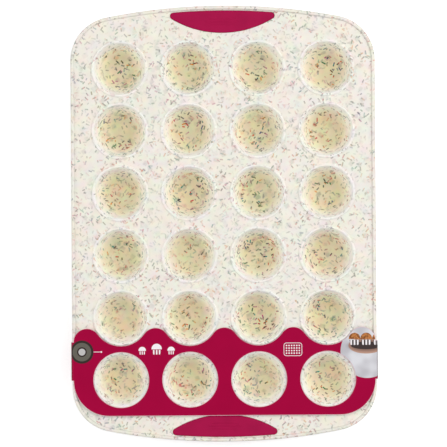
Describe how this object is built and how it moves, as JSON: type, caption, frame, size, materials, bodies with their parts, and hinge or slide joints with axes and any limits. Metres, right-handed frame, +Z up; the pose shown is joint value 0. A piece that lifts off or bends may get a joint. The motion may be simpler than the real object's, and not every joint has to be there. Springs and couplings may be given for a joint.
{
  "type": "mini muffin pan",
  "caption": "Rectangular cream silicone pan of small round baking cups, with a steel-stiffened rim, coloured grip inserts at both ends and a removable card sleeve.",
  "frame": {"origin": "on the table, under the middle of the pan: the bottom centre of the whole object's box", "axes": "+Z up, +Y along the long side towards the end without the sleeve, +X to the right as seen from the sleeve's end"},
  "size_m": [0.2758, 0.3924, 0.0249],
  "materials": {
    "speckled_silicone": "matte, with small coloured fibres all through it",
    "steel_wire": "drawn steel wire, sealed in the rim",
    "grip_silicone": "satin",
    "printed_card": "printed and coated folding board, white inside"
  },
  "bodies": {
    "pan": {"silicone_tray": "speckled_silicone", "steel_rim_frame": "steel_wire", "grip_insert_rear": "grip_silicone", "grip_insert_front": "grip_silicone"},
    "sleeve": {"card_sleeve": "printed_card"}
  },
  "joints": [
    {"name": "sleeve_slide", "type": "slide", "parent": "pan", "child": "sleeve", "axis": [0, -1, 0], "range_m": [0, 0.115]}
  ]
}
